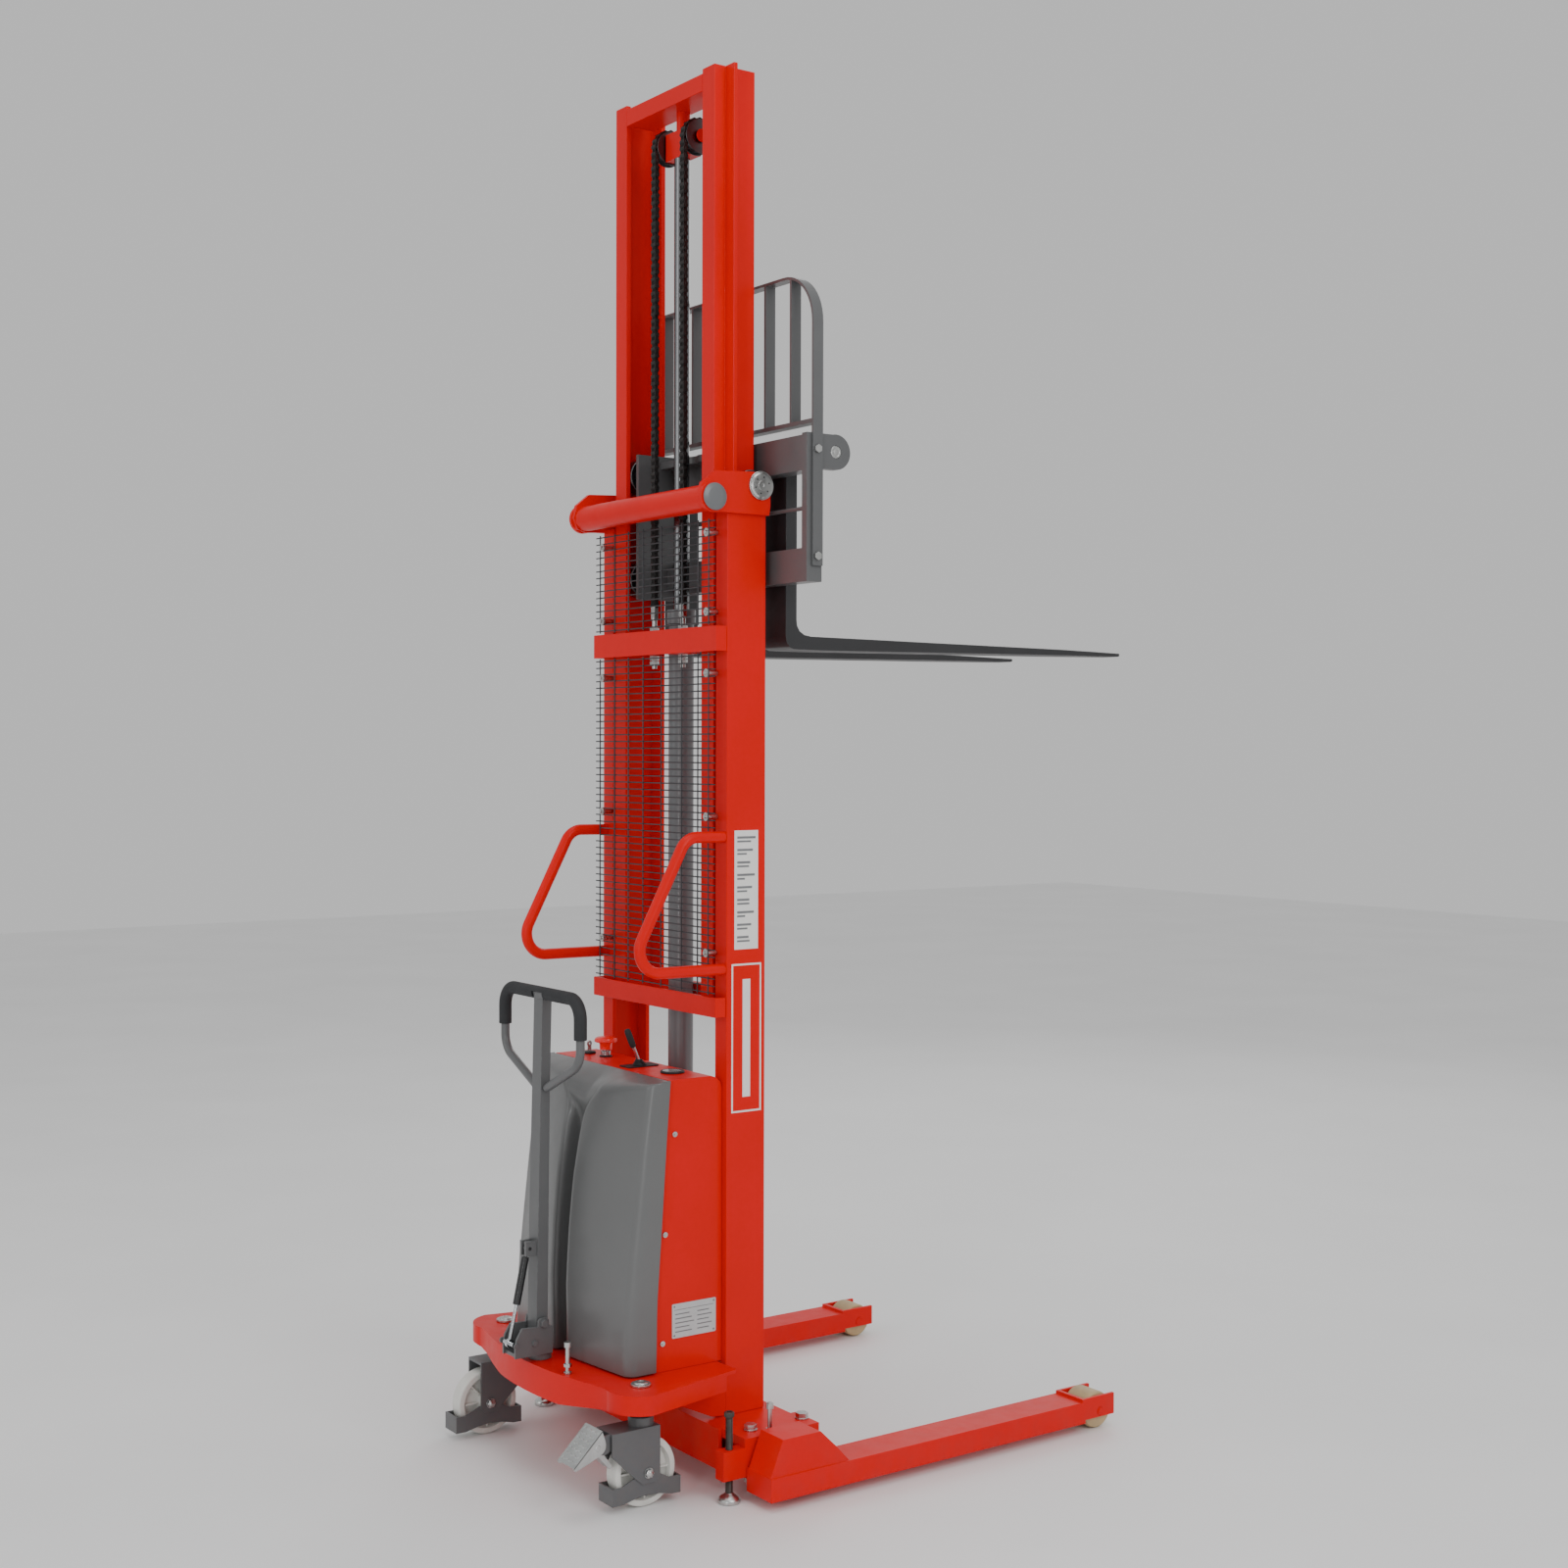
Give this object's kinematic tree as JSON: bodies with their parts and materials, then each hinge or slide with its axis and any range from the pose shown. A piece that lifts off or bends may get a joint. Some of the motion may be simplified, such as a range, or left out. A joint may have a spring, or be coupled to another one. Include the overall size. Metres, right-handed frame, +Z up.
{
  "type": "walkie_stacker",
  "caption": "Pedestrian straddle stacker: telescopic two-stage chain mast, fork carriage with load backrest, power pack, tiller-steered casters and adjustable straddle legs",
  "frame": {"origin": "on the floor under the centre of the whole machine's bounding box", "axes": "+X to the operator's right, +Y forward along the forks, +Z up the mast"},
  "size_m": [1.011, 1.623, 3.055],
  "materials": {
    "red_paint": "gloss",
    "grey_cover": "satin",
    "carriage_paint": "satin",
    "fork_paint": "satin",
    "dark_steel": "satin",
    "zinc_steel": "satin",
    "chain_steel": "oiled",
    "chrome_rod": "polished",
    "wire_mesh": "satin",
    "grip_rubber": "matte",
    "white_nylon": "satin",
    "load_wheel_pu": "satin",
    "black_plastic": "matte",
    "stop_red": "gloss",
    "plate_silver": "satin"
  },
  "bodies": {
    "root": {"outer_mast_columns": "red_paint", "mast_top_brackets": "red_paint", "mast_top_tube": "red_paint", "mast_cross_bars": "red_paint", "mesh_guards": "wire_mesh", "mesh_clips": "zinc_steel", "grab_handles": "red_paint", "chassis_crossmember": "red_paint", "leg_clamps": "red_paint", "frame_bolts": "zinc_steel", "base_deck": "red_paint", "lift_cylinder": "dark_steel", "battery": "black_plastic", "hydraulic_power_unit": "dark_steel", "power_pack_housing": "red_paint", "front_cover": "grey_cover", "cover_screws": "zinc_steel", "name_plate": "plate_silver", "panel_fittings": "black_plastic", "steering_chain": "chain_steel", "lift_chain_rear": "chain_steel"},
    "inner_mast": {"inner_mast_columns": "red_paint", "inner_crossbars": "red_paint", "pulley_yoke": "red_paint", "piston_rod": "chrome_rod", "lift_chain_wrap": "chain_steel", "lift_chain_front": "chain_steel"},
    "carriage": {"carriage_frame": "carriage_paint", "carriage_rods": "dark_steel", "carriage_bolts": "zinc_steel", "load_backrest": "carriage_paint"},
    "top_rollers": {"top_guide_rollers": "dark_steel"},
    "guide_rollers": {"mast_guide_rollers": "dark_steel"},
    "carriage_rollers_up": {"carriage_rollers_upper": "dark_steel"},
    "carriage_rollers_low": {"carriage_rollers_lower": "dark_steel"},
    "pulleys": {"chain_pulleys": "zinc_steel"},
    "right_fork": {"fork_right": "fork_paint"},
    "left_fork": {"fork_left": "fork_paint"},
    "right_leg": {"straddle_leg_right": "red_paint"},
    "left_leg": {"straddle_leg_left": "red_paint"},
    "right_load_wheel": {"load_wheel_right": "load_wheel_pu"},
    "left_load_wheel": {"load_wheel_left": "load_wheel_pu"},
    "right_jack": {"jack_screw_right": "zinc_steel"},
    "left_jack": {"jack_screw_left": "zinc_steel"},
    "tiller_base": {"steering_head": "carriage_paint"},
    "tiller": {"tiller_arm": "carriage_paint", "tiller_handle": "carriage_paint", "tiller_grip": "grip_rubber"},
    "gas_cylinder": {"gas_spring_cylinder": "black_plastic"},
    "gas_rod": {"gas_spring_rod": "chrome_rod"},
    "right_caster": {"caster_fork_right": "dark_steel", "toe_guard_right": "dark_steel"},
    "left_caster": {"caster_fork_left": "dark_steel", "toe_guard_left": "dark_steel"},
    "right_wheel": {"caster_wheel_right": "white_nylon"},
    "left_wheel": {"caster_wheel_left": "white_nylon"},
    "pedal": {"brake_pedal": "zinc_steel"},
    "stop_button": {"e_stop_button": "stop_red"},
    "key": {"switch_key": "chrome_rod"},
    "lever": {"lift_lever": "grip_rubber"}
  },
  "joints": [
    {"name": "mast_lift", "type": "slide", "parent": "root", "child": "inner_mast", "axis": [0, 0, 1], "range_m": [-0.873, 0.584], "deforming": ["lift_chain_rear"]},
    {"name": "carriage_lift", "type": "slide", "parent": "inner_mast", "child": "carriage", "axis": [0, 0, 1], "range_m": [-0.873, 0.584], "deforming": ["lift_chain_front"]},
    {"name": "top_roller_spin", "type": "hinge", "parent": "root", "child": "top_rollers", "pos_m": [0, -0.3165, 2.143], "axis": [1, 0, 0], "range_deg": [-874, 1304]},
    {"name": "guide_roller_spin", "type": "hinge", "parent": "inner_mast", "child": "guide_rollers", "pos_m": [0, -0.344, 1.06], "axis": [1, 0, 0], "range_deg": [-1288, 863]},
    {"name": "carriage_roller_up_spin", "type": "hinge", "parent": "carriage", "child": "carriage_rollers_up", "pos_m": [0, -0.3415, 2.205], "axis": [1, 0, 0], "range_deg": [-832, 1240]},
    {"name": "carriage_roller_low_spin", "type": "hinge", "parent": "carriage", "child": "carriage_rollers_low", "pos_m": [0, -0.3415, 1.965], "axis": [1, 0, 0], "range_deg": [-1240, 832]},
    {"name": "chain_pulley_spin", "type": "hinge", "parent": "inner_mast", "child": "pulleys", "pos_m": [0, -0.3415, 2.939], "axis": [1, 0, 0], "range_deg": [-1358, 910]},
    {"name": "fork_slide_right", "type": "slide", "parent": "carriage", "child": "right_fork", "axis": [1, 0, 0], "range_m": [-0.14, 0.11]},
    {"name": "fork_slide_left", "type": "slide", "parent": "carriage", "child": "left_fork", "axis": [-1, 0, 0], "range_m": [-0.14, 0.11]},
    {"name": "leg_slide_right", "type": "slide", "parent": "root", "child": "right_leg", "axis": [1, 0, 0], "range_m": [0, 0.13]},
    {"name": "leg_slide_left", "type": "slide", "parent": "root", "child": "left_leg", "axis": [-1, 0, 0], "range_m": [0, 0.13]},
    {"name": "load_wheel_spin_right", "type": "hinge", "parent": "right_leg", "child": "right_load_wheel", "pos_m": [0, 0.4875, 0.042], "axis": [1, 0, 0], "continuous": true},
    {"name": "load_wheel_spin_left", "type": "hinge", "parent": "left_leg", "child": "left_load_wheel", "pos_m": [0, 0.4875, 0.042], "axis": [1, 0, 0], "continuous": true},
    {"name": "jack_screw_lift_right", "type": "slide", "parent": "root", "child": "right_jack", "axis": [0, 0, 1], "range_m": [0, 0.028]},
    {"name": "jack_screw_lift_left", "type": "slide", "parent": "root", "child": "left_jack", "axis": [0, 0, 1], "range_m": [0, 0.028]},
    {"name": "tiller_steer", "type": "hinge", "parent": "root", "child": "tiller_base", "pos_m": [0, -0.7065, 0.255], "axis": [0, 0, 1], "range_deg": [-90, 90]},
    {"name": "caster_swivel_right", "type": "hinge", "parent": "root", "child": "right_caster", "pos_m": [0.299, -0.6325, 0.2], "axis": [0, 0, 1], "range_deg": [-63, 63]},
    {"name": "caster_swivel_left", "type": "hinge", "parent": "root", "child": "left_caster", "pos_m": [-0.299, -0.6325, 0.2], "axis": [0, 0, 1], "range_deg": [-63, 63]},
    {"name": "caster_wheel_spin_right", "type": "hinge", "parent": "right_caster", "child": "right_wheel", "pos_m": [0.299, -0.6325, 0.0735], "axis": [1, 0, 0], "continuous": true},
    {"name": "caster_wheel_spin_left", "type": "hinge", "parent": "left_caster", "child": "left_wheel", "pos_m": [-0.299, -0.6875, 0.0735], "axis": [1, 0, 0], "continuous": true},
    {"name": "brake_pedal_press", "type": "hinge", "parent": "right_caster", "child": "pedal", "pos_m": [0.299, -0.7545, 0.148], "axis": [1, 0, 0], "range_deg": [0, 10], "stiffness_Nm_per_rad": 8, "springref_deg": -8.59},
    {"name": "tiller_tilt", "type": "hinge", "parent": "tiller_base", "child": "tiller", "pos_m": [0, -0.7135, 0.329], "axis": [1, 0, 0], "range_deg": [0, 55], "stiffness_Nm_per_rad": 25, "springref_deg": -17.19},
    {"name": "gas_spring_pivot", "type": "hinge", "parent": "tiller", "child": "gas_cylinder", "pos_m": [0, -0.7385, 0.491], "axis": [1, 0, 0], "range_deg": [-9.8, 0.5]},
    {"name": "gas_spring_stroke", "type": "slide", "parent": "gas_cylinder", "child": "gas_rod", "axis": [0, 0.2092, 0.9779], "range_m": [-0.001, 0.069]},
    {"name": "stop_button_press", "type": "slide", "parent": "root", "child": "stop_button", "axis": [0, 0, 1], "range_m": [-0.005, 0], "stiffness_N_per_m": 800, "springref_m": 0.001},
    {"name": "key_turn", "type": "hinge", "parent": "root", "child": "key", "pos_m": [-0.191, -0.4725, 0.87], "axis": [0, 0, 1], "range_deg": [0, 90]},
    {"name": "lift_lever_tilt", "type": "hinge", "parent": "root", "child": "lever", "pos_m": [0.036, -0.4745, 0.852], "axis": [1, 0, 0], "range_deg": [-12, 12], "stiffness_Nm_per_rad": 2}
  ],
  "couplings": [
    {"joint": "carriage_lift", "follows": "mast_lift", "ratio": 1},
    {"joint": "top_roller_spin", "follows": "mast_lift", "rad_per_m": -25.97},
    {"joint": "guide_roller_spin", "follows": "mast_lift", "rad_per_m": 25.64},
    {"joint": "carriage_roller_up_spin", "follows": "mast_lift", "rad_per_m": -24.69},
    {"joint": "carriage_roller_low_spin", "follows": "mast_lift", "rad_per_m": 24.69},
    {"joint": "chain_pulley_spin", "follows": "mast_lift", "rad_per_m": 27.03},
    {"joint": "caster_swivel_right", "follows": "tiller_steer", "ratio": 0.6949},
    {"joint": "caster_swivel_left", "follows": "tiller_steer", "ratio": 0.6949},
    {"joint": "gas_spring_pivot", "follows": "tiller_tilt", "ratio": -0.17},
    {"joint": "gas_spring_stroke", "follows": "tiller_tilt", "m_per_rad": 0.07}
  ]
}
